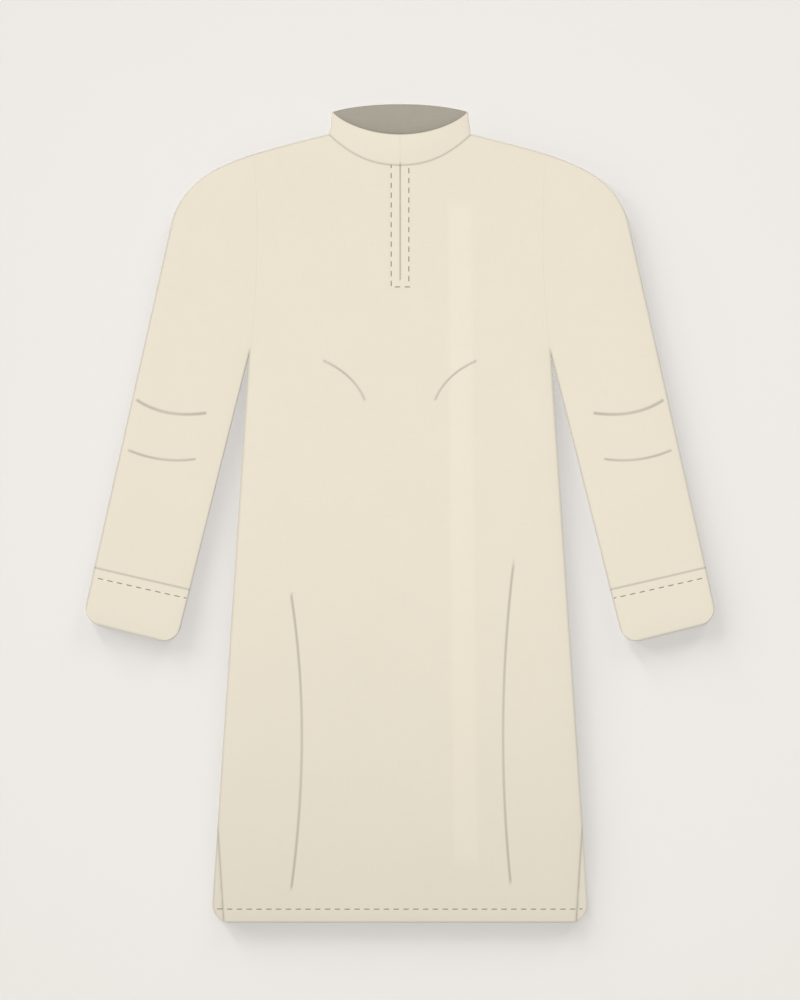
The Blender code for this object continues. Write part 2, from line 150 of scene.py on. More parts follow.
def neckSeamY(x):
    return cut["neckCornerY"] - cut["neckDrop"] * (1.0 - abs(x / neckHalf) ** cut["neckBend"])


armpit = (cut["chestHalf"], armpitY)
frontHemCorner = (cut["frontHemHalf"], hemY)
slitTop = (sideHalf(slitTopY), slitTopY)
# the upper layer's edge, from the middle of the hem round the right side to the neck corner
upperEdge = np.vstack([
    [(0.0, hemY), frontHemCorner, slitTop, armpit, cut["cuffEnd"][1], cut["cuffEnd"][0]],
    shoulderLine[::-1],
])
slitLine = np.array([frontHemCorner, slitTop])
bodyEdge = np.array([(0.0, hemY), frontHemCorner, slitTop, armpit])
neckSeam = np.array([(x, neckSeamY(x)) for x in np.linspace(-neckHalf, neckHalf, 41)])
cuffSeam = np.array(cut["cuffSeam"])


# distance from each point to a line of points, and how far along the line the nearest place is
def distanceTo(line, x, y):
    start, along = line[:-1], line[1:] - line[:-1]
    dx = np.asarray(x, float)[..., None] - start[:, 0]
    dy = np.asarray(y, float)[..., None] - start[:, 1]
    share = np.clip((dx * along[:, 0] + dy * along[:, 1]) / (along**2).sum(1), 0.0, 1.0)
    gap = np.hypot(dx - share * along[:, 0], dy - share * along[:, 1])
    nearest = gap.argmin(-1)[..., None]
    place = (nearest + np.take_along_axis(share, nearest, -1))[..., 0] / len(start)
    return np.take_along_axis(gap, nearest, -1)[..., 0], place


def bell(distance, width):
    return np.exp(-((distance / width) ** 2))


def flatBell(distance, width):
    return np.exp(-((distance / width) ** 4))


# The upper layer of cloth, with its creases.

layer = {
    "edgeZ": 1.8,
    "crown": 2.8,
    "crownReach": 11.0,
    "neckLift": (1.2, 2.2, 36.0),  # at the neck's sides, at its centre, and how far it reaches
    "ripple": 0.25,  # slow unevenness of cloth that was smoothed by hand
    "rippleReach": 25.0,
    "edgeShade": 0.165,  # painted shade, where cloth that turns away at an edge looks a little darker
    "edgeShadeWidth": 1.9,
}

# start, bend, end, depth, width, painted shade in the crease, share of the length over which it fades
creases = {
    "skirtLeft": ((-141.5, -106), (-113.4, -284), (-141.5, -491), 0.8, 1.7, 0.30, 0.006),
    "skirtRight": ((148, -63.5), (122.4, -271), (143.9, -482), 0.8, 1.65, 0.30, 0.006),
    "chestLeft": ((-101, 198.2), (-59.3, 180.4), (-45, 145), 0.6, 1.4, 0.33, 0.03),
    "chestRight": ((101, 198), (59.2, 180.6), (45.1, 145.3), 0.6, 1.4, 0.33, 0.03),
    "upperSleeveLeft": ((-343.6, 147.6), (-305.8, 121.3), (-250.4, 129.9), 0.8, 2.05, 0.32, 0.025),
    "upperSleeveRight": ((343.6, 147.4), (305.8, 121.4), (250.3, 129.8), 0.8, 2.05, 0.32, 0.025),
    "lowerSleeveLeft": ((-354.6, 82), (-309.9, 62.8), (-264.3, 70), 0.7, 1.6, 0.33, 0.03),
    "lowerSleeveRight": ((354.4, 81.9), (309.8, 62.7), (264.4, 70.1), 0.7, 1.6, 0.33, 0.03),
}
creaseRidge = {"share": 0.10, "place": 2.6, "width": 1.5}  # soft rise beside a crease, in its widths
creaseUneven = {"share": 0.12, "turns": 7.0, "shift": 9.0}  # a crease is deeper in some places
# a pressed roll down the front: a low ridge, with a painted highlight along it
roll = {
    "line": ((78.0, 410.0), (80.0, 0.0), (86.0, -465.0)),
    "rise": 0.9,
    "width": 15.0,
    "heightFade": 0.3,
    "light": 0.034,
    "soft": 2.6,
    "fade": 0.025,
}
hemTone = {"startY": 215.0, "endY": -505.0, "loss": 0.105, "bend": 2.0}  # painted shade, darker towards the hem


def curveLine(points, count=41):
    return np.array([bezier(points, t) for t in np.linspace(0.0, 1.0, count)])


creaseLines = {name: curveLine(values[:3]) for name, values in creases.items()}
rollLine = curveLine(roll["line"])


def fadeAtEnds(place, share):
    fade = np.clip(np.minimum(place, 1.0 - place) / share, 0.0, 1.0)
    return np.sin(fade * math.pi / 2) ** 2


def ripple(x, y):
    waves = ((0.021, 0.013, 0.4), (-0.017, 0.029, 1.9), (0.035, -0.009, 3.1), (0.008, 0.041, 5.0))
    return sum(np.sin(a * x + b * y + c) for a, b, c in waves) / len(waves)


def skirtTone(y):
    share = np.clip((hemTone["startY"] - y) / (hemTone["startY"] - hemTone["endY"]), 0.0, 1.1)
    return 1.0 - hemTone["loss"] * share ** hemTone["bend"]


# height of the middle of the upper layer, and the tone of the cloth there, which carries its painted shade
# and painted highlight
def upperCloth(x, y):
    x, y = np.asarray(x, float), np.asarray(y, float)
    edge = distanceTo(upperEdge, abs(x), y)[0]
    z = layer["edgeZ"] + layer["crown"] * (1.0 - np.exp(-edge / layer["crownReach"]))
    centre = np.clip(1.0 - (x / neckHalf) ** 2, 0.0, 1.0)
    sideLift, centreLift, reach = layer["neckLift"]
    lift = sideLift + (centreLift - sideLift) * centre
    z += lift * np.exp(-distanceTo(neckSeam, x, y)[0] / reach)
    z += layer["ripple"] * ripple(x, y) * (1.0 - np.exp(-edge / layer["rippleReach"]))
    tone = 1.0 - layer["edgeShade"] * flatBell(edge, layer["edgeShadeWidth"])
    for name, (*_, depth, width, shade, fadeShare) in creases.items():
        gap, place = distanceTo(creaseLines[name], x, y)
        wave = np.sin(place * creaseUneven["turns"] + depth * creaseUneven["shift"])
        fade = fadeAtEnds(place, fadeShare) * (1.0 + creaseUneven["share"] * wave)
        trough = bell(gap, width)
        ridge = bell(gap / width - creaseRidge["place"], creaseRidge["width"])
        z += depth * fade * (creaseRidge["share"] * ridge - trough)
        # painted shade along each crease
        tone -= shade * fade * flatBell(gap, width)
    gap, place = distanceTo(rollLine, x, y)
    z += roll["rise"] * fadeAtEnds(place, roll["heightFade"]) * bell(gap, roll["width"])
    # painted highlight along the roll
    light = roll["light"] * fadeAtEnds(place, roll["fade"])
    tone += light * (0.5 - 0.5 * np.tanh((gap - roll["width"]) / roll["soft"]))
    return z, tone * skirtTone(y)


seamRoll = {"depth": 0.45, "width": 1.45, "shade": 0.24}  # cloth turning down into a seam, with painted shade along it
slitEdge = {"shade": 0.19, "width": 1.25}  # painted shade along the front's edge over the side slit, and where it touches the back


# the cloth turns down where it meets the collar, and painted shade darkens it there
def turnIntoNeckSeam(x, y, z, tone):
    dip = bell(distanceTo(neckSeam, x, y)[0], seamRoll["width"])
    z -= seamRoll["depth"] * dip
    tone *= 1.0 - seamRoll["shade"] * dip


# painted shade along the side slits
def slitTone(x, y):
    return 1.0 - slitEdge["shade"] * bell(distanceTo(slitLine, abs(x), y)[0], slitEdge["width"])


def applyModifiers(piece):
    bpy.ops.object.select_all(action="DESELECT")
    bpy.context.view_layer.objects.active = piece
    piece.select_set(True)
    for modifier in list(piece.modifiers):
        bpy.ops.object.modifier_apply(modifier=modifier.name)
    piece.select_set(False)


def addToScene(name, data):
    thing = bpy.data.objects.new(name, data)
    bpy.context.scene.collection.objects.link(thing)
    return thing


# A wall of cloth over a grid of mid-wall points, closed round its rim. lay is where each point lies
# in the flat cloth, and in a tube it has one column more than the grid, for the underarm seam.
def clothPiece(name, grid, lay, tone, made, materials, around=False, leaveOut=None, insideSlot=0):
    rows, count = grid.shape[:2]
    cells = np.array([(i, j) for i in range(rows - 1) for j in range(count if around else count - 1)
                      if leaveOut is None or not leaveOut(i, j)])
    corners = cells[:, None, :] + np.array([(0, 0), (0, 1), (1, 1), (1, 0)])
    vertex = corners[..., 0] * count + corners[..., 1] % count
    used, places = np.unique(vertex, return_inverse=True)
    mesh = bpy.data.meshes.new(name)
    points = grid.reshape(-1, 3)[used] * mm
    mesh.from_pydata(points.tolist(), [], places.reshape(-1, 4).tolist())
    layout = mesh.uv_layers.new(name="weave")
    flat = lay[corners[..., 0], corners[..., 1]] * mm
    layout.data.foreach_set("uv", flat.astype(np.float32).ravel())
    shade = mesh.attributes.new("tone", "FLOAT", "POINT")
    shade.data.foreach_set("value", tone.reshape(-1)[used].astype(np.float32))
    for material in materials:
        mesh.materials.append(material)
    piece = addToScene(name, mesh)
    thicken = piece.modifiers.new("wall", "SOLIDIFY")
    thicken.thickness = made["wall"] * mm
    thicken.offset = 0.0
    thicken.material_offset = insideSlot
    rounded = piece.modifiers.new("edge", "BEVEL")
    rounded.width = made["rounding"] * mm
    rounded.segments = 2
    rounded.limit_method = "ANGLE"
    rounded.angle_limit = math.radians(55)
    applyModifiers(piece)
    piece.data.shade_smooth()
    piece.data.set_sharp_from_angle(angle=math.radians(60))
    cell = points[places.reshape(-1, 4)]
    area = np.linalg.norm(np.cross(cell[:, 2] - cell[:, 0], cell[:, 3] - cell[:, 1]), axis=1).sum() / 2
    return piece, (float(np.ptp(flat[..., 0])), float(np.ptp(flat[..., 1])), float(area))


# attaches a piece of cloth, hides the solid it stands for, and prints its faces and its cut
def declare(made, node):
    piece, (width, height, area) = made
    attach(piece, "root")
    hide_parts(node)
    across, up = round(width, 3), round(height, 3)
    area = min(area, across * up)
    print(piece.name + ":", len(piece.data.polygons), "faces, cut from", across, "by", up, "m,",
          round(area, 4), "m2 of cloth")
    return piece


def toLinear(hexColour):
    channels = [int(hexColour[i:i + 2], 16) / 255 for i in (0, 2, 4)]
    return [c / 12.92 if c <= 0.04045 else ((c + 0.055) / 1.055) ** 2.4 for c in channels] + [1.0]


# Adds a node, sets its properties, gives its inputs their values or links, and returns its outputs.
# Inputs go by name or number, or simply in order.
def addNode(tree, kind, settings, *inputs):
    node = tree.nodes.new("ShaderNode" + kind)
    for key, value in [*settings.items(), *enumerate(inputs)]:
        if isinstance(value, bpy.types.NodeSocket):
            tree.links.new(value, node.inputs[key])
        elif isinstance(key, str) and hasattr(node, key):
            setattr(node, key, value)
        else:
            node.inputs[key].default_value = value
    return node.outputs


def newMaterial(name, shaderSettings):
    material = bpy.data.materials.new(name)
    material.use_nodes = True
    tree = material.node_tree
    shader = tree.nodes["Principled BSDF"]
    for key, value in shaderSettings.items():
        shader.inputs[key].default_value = value
    return material, tree, shader


# Plain-weave cotton, washed and ironed: matt, with a faint fuzz that lightens it at a low angle,
# a fine over-and-under of threads, and now and then a thicker thread, or slub.
weave = {
    "pitch": 1.3,  # real threads are 0.45 mm apart, drawn three times as coarse so that they show
    "slubLength": 26.0,
    "slubWidth": 1.5,
    "threadDepth": 0.12,
    "overUnder": 0.3,
    "patchSize": 90.0,  # faint patches, where washing has left the cloth a little uneven
    "patches": 0.7,
}


def wovenCotton(name, colour, dullColour):
    material, tree, shader = newMaterial(name, {
        "Roughness": 0.86,
        "IOR": 1.47,
        "Specular IOR Level": 0.25,
        "Sheen Weight": 0.1,
        "Sheen Roughness": 0.55,
    })
    layout = addNode(tree, "UVMap", {"uv_map": "weave"})["UV"]
    fine, slow = 1.0 / (weave["slubWidth"] * mm), 1.0 / (weave["slubLength"] * mm)
    slubs = []
    for scale in ((slow, fine, 1.0), (fine, slow, 1.0)):
        stretched = addNode(tree, "Mapping", {"Scale": scale, "Vector": layout})["Vector"]
        slubs.append(addNode(tree, "TexNoise", {"Scale": 1.0, "Detail": 2.0, "Vector": stretched})["Fac"])
    threads = addNode(tree, "Math", {"operation": "ADD"}, *slubs)[0]
    axes = addNode(tree, "SeparateXYZ", {"Vector": layout})
    turn = math.pi / (weave["pitch"] * mm)
    waves = []
    for axis in ("X", "Y"):
        turns = addNode(tree, "Math", {"operation": "MULTIPLY"}, axes[axis], turn)[0]
        waves.append(addNode(tree, "Math", {"operation": "SINE"}, turns)[0])
    overUnder = addNode(tree, "Math", {"operation": "MULTIPLY"}, *waves)[0]
    relief = addNode(tree, "Math", {"operation": "MULTIPLY_ADD"}, overUnder, weave["overUnder"], threads)
    depth = weave["threadDepth"] * mm
    bump = addNode(tree, "Bump", {"Strength": 0.5, "Distance": depth, "Height": relief[0]})
    tree.links.new(bump["Normal"], shader.inputs["Normal"])
    patches = addNode(tree, "TexNoise", {"Scale": 1.0 / (weave["patchSize"] * mm), "Detail": 3.0,
                                         "Vector": layout})
    mixed = addNode(tree, "Math", {"operation": "MULTIPLY_ADD"}, patches["Fac"], weave["patches"], threads)
    spread = addNode(tree, "MapRange", {"From Min": 0.95, "From Max": 1.75, "Value": mixed[0]})
    thread = addNode(tree, "Mix", {"data_type": "RGBA", 0: spread["Result"],
                                   6: toLinear(dullColour), 7: toLinear(colour)})
    # the tone attribute carries each piece's painted shade and painted highlights into the colour
    tone = addNode(tree, "Attribute", {"attribute_name": "tone"})
    toned = addNode(tree, "VectorMath", {"operation": "SCALE", 0: thread[2], "Scale": tone["Fac"]})
    tree.links.new(toned["Vector"], shader.inputs["Base Color"])
    return material


# Spun cotton topstitching thread: plies twisted together, a few shades darker than the cloth.
threadTwist = {"pitch": 1.8, "waves": 0.314, "colour": "9D917A", "darkColour": "827762"}


def twistedThread():
    material, tree, shader = newMaterial("spun_cotton_thread", {
        "Roughness": 0.7,
        "IOR": 1.47,
        "Specular IOR Level": 0.3,
    })
    place = addNode(tree, "TexCoord", {})["Object"]
    turned = addNode(tree, "Mapping", {"Rotation": (0.0, 0.0, math.radians(35)), "Vector": place})
    plies = addNode(tree, "TexWave", {"Scale": threadTwist["waves"] / (threadTwist["pitch"] * mm),
                                      "Distortion": 0.4, "Vector": turned["Vector"]})["Fac"]
    shade = addNode(tree, "Mix", {"data_type": "RGBA", 0: plies, 6: toLinear(threadTwist["darkColour"]),
                                  7: toLinear(threadTwist["colour"])})
    tree.links.new(shade[2], shader.inputs["Base Color"])
    bump = addNode(tree, "Bump", {"Strength": 0.6, "Distance": 0.1 * mm, "Height": plies})
    tree.links.new(bump["Normal"], shader.inputs["Normal"])
    return material


creamCotton = wovenCotton("cream_cotton_plain_weave", "EAE2D0", "E7DFCD")
trimCotton = wovenCotton("cream_cotton_ironed_double", "EBE3D1", "E8E0CE")
# painted shade: the band's inside is coloured dark to stand in for the shade inside the collar
innerBandShadeCotton = wovenCotton("inner_band_cotton_painted_shade", "ACA699", "A59F92")
threadMaterial = twistedThread()
print("materials made")


frontPiece = {
    "wall": 0.8,
    "rounding": 0.06,
    # span and step, then the spots where creases and edges need finer steps
    "outerColumns": (98.0, 5.0, ((98.0, 1.1, 9.0), (0.0, 1.1, 5.0))),
    "innerColumns": (120.0, 3.8, ((0.0, 1.1, 9.0), (50.0, 1.15, 41.0))),
    "slotColumns": 9,
    "rowStep": 7.5,
    "hemRows": (0.8, 22.0),
    "chestRows": (171.0, 1.15, 40.0),
    "yokeRows": (0.045, ((1.0, 0.005, 0.05),)),
    "edgeDip": 0.4,  # the side seams and hem come down onto the back
    "edgeDipWidth": 1.9,
    "hemRise": 0.45,  # the hem is folded up, so it stands a little proud
    "hemFold": (1.3, 0.7),  # how far over its stitching the fold ends, and how softly
    "hemGroove": 0.35,
    "grooveWidth": 1.2,
}
settleRounds = 8  # x and y of a row hang on each other at the shoulders, and settle after a few rounds


# the line that follows a skirt crease, then runs on up to the neck corner
def guideX(side, y):
    line = creaseLines["skirtLeft" if side < 0 else "skirtRight"]
    if y > line[0, 1]:
        share = (y - line[0, 1]) / (cut["neckCornerY"] - line[0, 1])
        return abs(line[0, 0]) + (neckHalf - abs(line[0, 0])) * share
    return float(np.interp(-y, -line[:, 1], abs(line[:, 0])))


# x of every column of the front at height y
def frontColumns(y, edge, shares):
    outerShares, innerShares, slotShares = shares
    halves = []
    for side in (-1, 1):
        guide = guideX(side, y)
        outer = edge + (guide - edge) * outerShares
        inner = guide + (slotHalf - guide) * innerShares
        halves.append(np.concatenate([outer, inner[1:]]))
    return np.concatenate([-halves[0], slotHalf * slotShares, halves[1][::-1]])


# the turned-up hem stands proud, and its stitching pulls a groove
def hemRelief(y):
    up = y - hemY - cut["hemDepth"]
    over, soft = frontPiece["hemFold"]
    folded = 0.5 - 0.5 * np.tanh((up - over) / soft)
    return frontPiece["hemRise"] * folded - frontPiece["hemGroove"] * bell(up, frontPiece["grooveWidth"])


def frontTopY(x):
    return neckSeamY(x) if abs(x) < neckHalf else shoulderY(abs(x))


def makeFront():
    shares = (sharesOf(*frontPiece["outerColumns"]), sharesOf(*frontPiece["innerColumns"]),
              np.linspace(-1.0, 1.0, frontPiece["slotColumns"])[1:-1])
    rowStep = frontPiece["rowStep"]
    levels = np.concatenate([
        stepsAlong(hemY, slitTopY, rowStep, [(hemY, *frontPiece["hemRows"])]),
        stepsAlong(slitTopY, armpitY, rowStep, [frontPiece["chestRows"]])[1:],
        stepsAlong(armpitY, slotFootY, rowStep)[1:],
    ])
    rows = []
    for y in levels:
        edge = frontHalf(y) if y <= armpitY else armholeX(y) - hairline
        x = frontColumns(y, edge, shares)
        rows.append(np.stack([x, np.full_like(x, y)], axis=-1))
    for step in stepsAlong(0.0, 1.0, *frontPiece["yokeRows"])[1:]:
        x = frontColumns(slotFootY, armholeX(slotFootY) - hairline, shares)
        for _ in range(settleRounds):
            y = np.array([slotFootY + (frontTopY(v) - slotFootY) * step for v in x])
            x = np.array([frontColumns(v, armholeX(v) - hairline, shares)[k] for k, v in enumerate(y)])
        rows.append(np.stack([x, y], axis=-1))
    plan = np.array(rows)
    cornerShare = np.clip(1.0 - (plan[..., 1] - hemY) / cut["hemCorner"], 0.0, 1.0)
    plan[..., 1] += cornerShare * np.vectorize(cornerRise)(plan[..., 0])
    x, y = plan[..., 0], plan[..., 1]
    z, tone = upperCloth(x, y)
    bodyGap = distanceTo(bodyEdge, abs(x), y)[0]
    edgeGap = np.minimum(bodyGap, distanceTo(shoulderLine, abs(x), y)[0])
    z += hemRelief(y) * (1.0 - bell(bodyGap, frontPiece["grooveWidth"]))
    z -= frontPiece["edgeDip"] * bell(edgeGap, frontPiece["edgeDipWidth"])
    turnIntoNeckSeam(x, y, z, tone)
    tone *= slitTone(x, y)
    slot = len(shares[0]) + len(shares[1]) - 2
    slotCells = len(shares[2]) + 1
    firstRow = len(levels) - 1

    def inSlot(i, j):
        return i >= firstRow and slot <= j < slot + slotCells

    grid = np.dstack([plan, z])
    return clothPiece("frontPanel", grid, plan, tone, frontPiece, [creamCotton], leaveOut=inSlot)


front = declare(makeFront(), "front")


backPiece = {
    "wall": 0.9,
    "rounding": 0.2,
    "columns": (210.0, 4.0, ((210.0, 1.2, 10.0),)),
    "rowStep": 4.4,
    "cornerRows": 22,
    "yokeRows": 26,
    "recess": 0.68,  # the stitches on the underside lie in a groove, so the back stays flat
    "recessWidth": 1.8,
    # painted shade: the back is a little darker below the tops of the side slits
    "slitTone": 0.985,
}
# start, bend, end and width of the creases pressed into the underside, as shallow as the table leaves them
backCreases = (
    ((-150, -150), (-40, -118), (62, -146), 5.2),
    ((168, -228), (96, -204), (22, -222), 4.6),
    ((-128, 40), (-60, 62), (30, 44), 5.4),
    ((-150, 330), (-112, 250), (-128, 176), 4.8),
    ((146, 352), (104, 270), (122, 160), 5),
    ((-118, -262), (-136, -372), (-112, -488), 4.6),
    ((96, -300), (122, -392), (104, -496), 4.8),
)
underCrease = {"lift": 0.5, "fade": 0.25, "shade": 0.10}
neckColumnShare = 0.48  # the column at this share of the half-width ends at the neck corner


# how far the underside's creases lift the cloth, and how much painted shade darkens them
def undersideCreases(table, x, y):
    rise, tone = np.zeros_like(x), np.ones_like(x)
    for *points, width in table:
        gap, place = distanceTo(curveLine(points), x, y)
        crease = fadeAtEnds(place, underCrease["fade"]) * bell(gap, width)
        rise = np.maximum(rise, underCrease["lift"] * crease)
        tone = np.minimum(tone, 1.0 - underCrease["shade"] * crease)
    return rise, tone


def backColumnX(share, edge, y):
    rise = max(0.0, (y - slotFootY) / (cut["neckCornerY"] - slotFootY))
    corner = edge * neckColumnShare + (neckHalf - edge * neckColumnShare) * rise
    if abs(share) <= neckColumnShare:
        return corner * share / neckColumnShare
    rest = (abs(share) - neckColumnShare) / (1 - neckColumnShare)
    return math.copysign(corner + (edge - corner) * rest, share)


def makeBack():
    half = sharesOf(*backPiece["columns"])
    half[abs(half - neckColumnShare).argmin()] = neckColumnShare
    shares = np.concatenate([-half[:0:-1], half])
    rowStep = backPiece["rowStep"]
    levels = np.concatenate([
        hemY + cut["hemCorner"] * (1.0 - np.cos(np.linspace(0.0, math.pi / 2, backPiece["cornerRows"]))),
        stepsAlong(hemY + cut["hemCorner"], armpitY, rowStep)[1:],
        stepsAlong(armpitY, slotFootY, rowStep)[1:],
    ])

    def edgeX(y):
        return backHalf(y) if y <= armpitY else armholeX(y) - hairline

    rows = [[(backColumnX(s, edgeX(y), y), y) for s in shares] for y in levels]
    for step in np.linspace(0.0, 1.0, backPiece["yokeRows"])[1:]:
        row = []
        for share in shares:
            x, y = backColumnX(share, edgeX(slotFootY), slotFootY), slotFootY
            for _ in range(settleRounds):
                topY = cut["neckCornerY"] if abs(x) < neckHalf - 0.1 else shoulderY(abs(x))
                y = slotFootY + (topY - slotFootY) * step
                x = backColumnX(share, edgeX(min(y, armholeTopY)), y)
            row.append((x, y))
        rows.append(row)
    plan = np.array(rows)
    x, y = plan[..., 0], plan[..., 1]
    rise, tone = undersideCreases(backCreases, x, y)
    tone *= skirtTone(y) * np.where(y < slitTopY, backPiece["slitTone"], 1.0)
    recess = backPiece["recess"] * bell(y - hemY - cut["hemDepth"], backPiece["recessWidth"])
    z = backPiece["wall"] / 2 + rise + recess
    edge = abs(x) - np.array([[edgeX(v) for v in row] for row in y])
    tone *= 1.0 - layer["edgeShade"] * flatBell(edge, layer["edgeShadeWidth"])
    tone *= slitTone(x, y)
    grid = np.dstack([plan, z])
    return clothPiece("backPanel", grid, plan, tone, backPiece, [creamCotton])


back = declare(makeBack(), "back")


# Sleeves and cuffs are flattened tubes.

sleeves = {
    "wall": 0.9,
    "rounding": 0.06,
    "lift": 0.0,
    "reach": 1.6,  # from a folded edge to where the cloth lies flat
    "step": 2.8,
    "foldSpot": (1.0, 5.0),
    "stationStep": 5.0,
    "creaseShares": (0.625, 0.735),
    "creaseSpot": (1.3, 36.0),
    "armholeSpot": (1.2, 6.0),
    "cuffSpot": (0.8, 7.0),
    "fan": 0.8,  # how strongly the sections crowd together at the armpit
    "armholeFade": 0.22,
    "clearance": 0.1,
    "dipShare": 0.6,  # how much of the room inside a dip from above and a rise from below may take
    "riseShare": 0.35,
}
cuffs = {
    "wall": 1.1,
    "rounding": 0.3,
    "lift": 0.35,  # doubled cloth stands a little above the sleeve
    "seamDepth": 0.7,
    "seamRise": 0.5,
    "seamWidth": 1.3,
    # painted shade along the seam of sleeve and cuff
    "seamShade": 0.29,
    "step": 4.0,
    "stationStep": 3.0,
    "stationSpots": ((0.0, 0.7, 8.0), (13.0, 0.7, 4.0)),
    "cornerRows": 16,
    "stitchDrop": (12.5, 11.6),  # from the seam to the row of stitches, at its outer and inner end
    "stitchDip": 0.25,
    "recess": 0.7,
    "recessWidth": 1.6,
}
# creases pressed into the undersides of the sleeves
sleeveUnderCreases = (
    ((362, 104), (318, 80), (262, 92), 4),
    ((372, 38), (334, 22), (284, 30), 3.8),
    ((318, 236), (282, 206), (236, 214), 4.2),
    ((-352, 118), (-306, 98), (-256, 106), 4),
    ((-368, 52), (-330, 30), (-288, 44), 3.8),
    ((-314, 252), (-270, 226), (-232, 226), 4.2),
)
foldAngles = np.radians([75, 50, 25, 0, -25, -50, -75])


def unit(vector):
    return vector / np.linalg.norm(vector)


# how far along a line of points each of them lies
def distancesAlong(line):
    return np.concatenate([[0.0], np.cumsum(np.linalg.norm(np.diff(line, axis=0), axis=1))])


def alongLine(line, shares):
    lengths = distancesAlong(line)
    at = np.asarray(shares) * lengths[-1]
    return np.stack([np.interp(at, lengths, line[:, 0]), np.interp(at, lengths, line[:, 1])], axis=-1)


acrossCuff = unit(cuffSeam[1] - cuffSeam[0])
towardsHand = np.array([-acrossCuff[1], acrossCuff[0]])
cuffStitchLine = cuffSeam + towardsHand * np.array(cuffs["stitchDrop"])[:, None]
sleeveOuterLine = np.vstack([
    [(cut["armholeTopX"], armholeTopY)],
    shoulderLine[shoulderLine[:, 0] > cut["armholeTopX"] + 1.0],
    cuffSeam[:1],
])


# Plan, height and layout of a tube. It runs across the top from its inner edge to its outer edge,
# round the fold, back across the underside and round the inner fold, on the right-hand side.
def tubeGrid(outer, inner, side, made, axis, bend=None):
    wall, reach = made["wall"], sleeves["reach"]
    radius = reach - wall / 2
    across = (outer - inner) / np.linalg.norm(outer - inner, axis=1)[:, None]
    start, end = inner + across * reach, outer - across * reach
    width = np.linalg.norm(end - start, axis=1).max()
    places = sharesOf(width, made["step"], [(place, *sleeves["foldSpot"]) for place in (0.0, width)])
    top = start[:, None] + (end - start)[:, None] * places[:, None]
    under = top[:, ::-1]
    outerFold = end[:, None] + across[:, None] * radius * np.cos(foldAngles)[:, None]
    innerFold = start[:, None] - across[:, None] * radius * np.cos(foldAngles)[:, None]
    plan = np.concatenate([top, outerFold, under, innerFold], axis=1)
    if bend is not None:
        plan = bend(plan)
    plan[..., 0] *= side
    count, turn = len(places), len(foldAngles)
    z, tone = upperCloth(plan[..., 0], plan[..., 1])
    z += made["lift"]
    low = wall / 2
    room = np.clip(z - low - wall - sleeves["clearance"], 0.0, None)
    z[:, count + turn:2 * count + turn] = low
    for first, near, angles in ((count, count - 1, foldAngles), (2 * count + turn, 0, -foldAngles)):
        half = (z[:, near] - low)[:, None] / 2
        z[:, first:first + turn] = low + half * (1.0 + np.sin(angles))
    around = [np.ones(count), (1.0 + np.sin(foldAngles)) / 2, np.zeros(count),
              (1.0 - np.sin(foldAngles)) / 2]
    topShare = np.broadcast_to(np.concatenate(around), z.shape)
    lay = tubeLayout(plan, axis * np.array([side, 1.0]), side, count, turn)
    return {"plan": plan, "z": z, "tone": tone, "lay": lay, "topShare": topShare, "room": room}


# Presses a dip into a tube's top and a rise into its underside, as far as there is room between them,
# with the seam of sleeve and cuff, and makes the piece.
def tubePiece(name, tube, dip, rise, made, material):
    plan, topShare = tube["plan"], tube["topShare"]
    seam = bell(distanceTo(cuffSeam, abs(plan[..., 0]), plan[..., 1])[0], cuffs["seamWidth"])
    rise = np.minimum(rise + cuffs["seamRise"] * seam, sleeves["riseShare"] * tube["room"])
    dip = np.minimum(dip + cuffs["seamDepth"] * seam, sleeves["dipShare"] * tube["room"])
    tube["z"] += (1.0 - topShare) * rise - topShare * dip
    tone = tube["tone"] * (1.0 - cuffs["seamShade"] * seam)
    grid = np.dstack([plan, tube["z"]])
    return clothPiece(name, grid, tube["lay"], tone, made, [material], around=True)


# the tube slit along its inner fold and opened out flat about its outer edge
def tubeLayout(plan, axis, side, count, turn):
    along = unit(axis)
    across = np.array([along[1], -along[0]]) * side
    u, v = plan @ across, plan @ along
    outerU = u[:, count + turn // 2].max()
    lay = np.dstack([u, v])
    underU = 2 * outerU - u[:, count + turn:2 * count + turn]
    lay[:, count + turn:2 * count + turn, 0] = underU
    share = (np.arange(turn) + 1.0)[:, None] / (turn + 1)
    before, after = lay[:, count - 1, None], lay[:, count + turn, None]
    lay[:, count:count + turn] = before + (after - before) * share
    last = lay[:, 2 * count + turn - 1, None]
    fold = np.array([2.0 * sleeves["reach"], 0.0])
    lay[:, 2 * count + turn:] = last + fold * share
    return np.concatenate([lay, last + fold], axis=1)


# the sleeve's first rings bow in to the armhole seam
def bowToArmhole(shares):
    def bend(plan):
        at = np.clip((plan[..., 1] - armpitY) / (armholeTopY - armpitY), 0.0, 1.0)
        fade = np.clip(1.0 - shares / sleeves["armholeFade"], 0.0, 1.0)[:, None]
        plan[..., 0] -= fade * cut["armholeCurve"] * 4 * at * (1 - at)
        return plan

    return bend


def makeSleeve(name, side):
    length = np.linalg.norm(np.diff(sleeveOuterLine, axis=0), axis=1).sum()
    spots = [(share * length, *sleeves["creaseSpot"]) for share in sleeves["creaseShares"]]
    spots += [(0.0, *sleeves["armholeSpot"]), (length, *sleeves["cuffSpot"])]
    shares = sharesOf(length, sleeves["stationStep"], spots)
    outer = alongLine(sleeveOuterLine, shares)
    fanned = (1 - sleeves["fan"]) * shares + sleeves["fan"] * shares**3
    inner = np.array(armpit) + (cuffSeam[1] - np.array(armpit)) * fanned[:, None]
    shift = np.array([hairline, 0.0]) * (1 - shares)[:, None] - towardsHand * hairline * shares[:, None]
    axis = sleeveOuterLine[-2] - sleeveOuterLine[-1]
    tube = tubeGrid(outer + shift, inner + shift, side, sleeves, axis, bowToArmhole(shares))
    rise, underTone = undersideCreases(sleeveUnderCreases, tube["plan"][..., 0], tube["plan"][..., 1])
    tube["tone"] = np.where(tube["topShare"] > 0, tube["tone"], underTone)
    return tubePiece(name, tube, 0.0, rise, sleeves, creamCotton)


